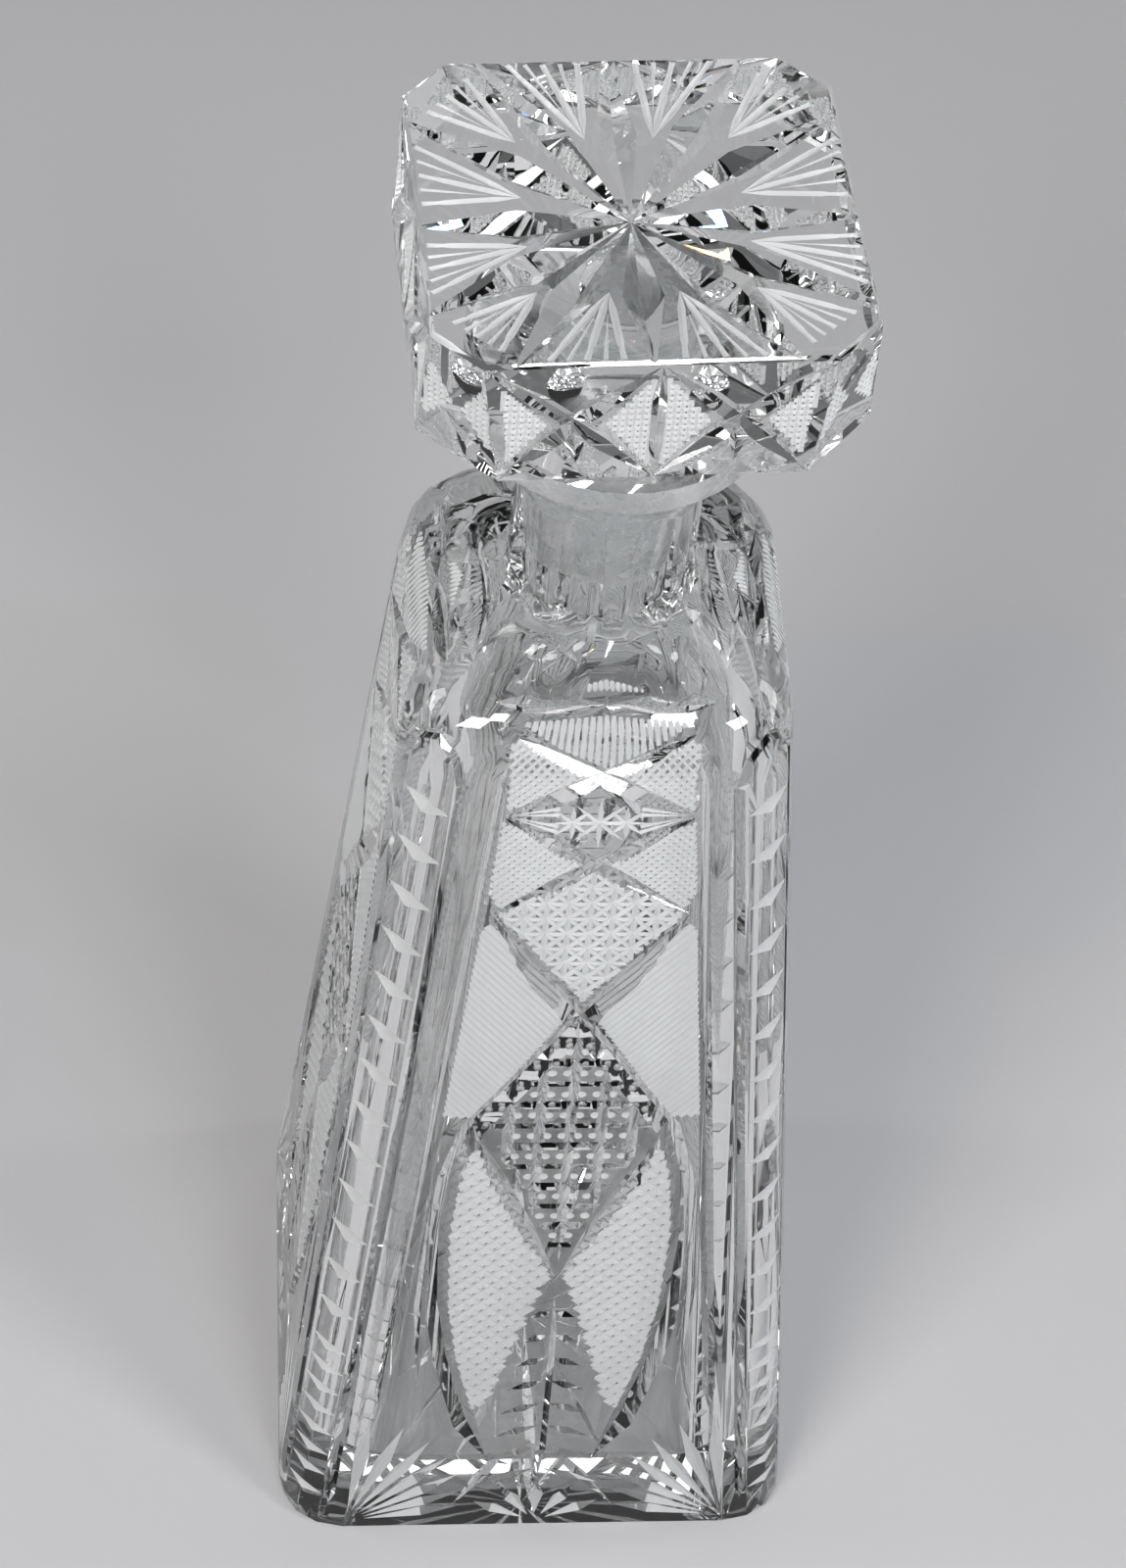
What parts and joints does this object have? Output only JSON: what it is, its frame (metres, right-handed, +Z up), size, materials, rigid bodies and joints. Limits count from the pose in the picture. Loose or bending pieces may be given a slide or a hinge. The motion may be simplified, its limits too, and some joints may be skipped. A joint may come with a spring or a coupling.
{
  "type": "cut glass decanter",
  "caption": "Tapered square glass decanter with a wheel-cut mitre pattern, fluted neck and lift-out square block stopper.",
  "frame": {"origin": "middle of the bottle's foot, on the surface it stands on", "axes": "+Z up through the neck; -Y is the outward side of the front face; the four faces are alike"},
  "size_m": [0.0848, 0.0848, 0.2588],
  "materials": {
    "bottle_glass": "clear polished glass with grey frosted fine cutting",
    "stopper_glass": "clear polished glass with a ground frosted shank"
  },
  "bodies": {
    "bottle": {"bottle": "bottle_glass"},
    "stopper": {"stopper": "stopper_glass"}
  },
  "joints": [
    {"name": "stopper_lift", "type": "slide", "parent": "bottle", "child": "stopper", "axis": [0, 0, 1], "range_m": [0, 0.06]}
  ]
}
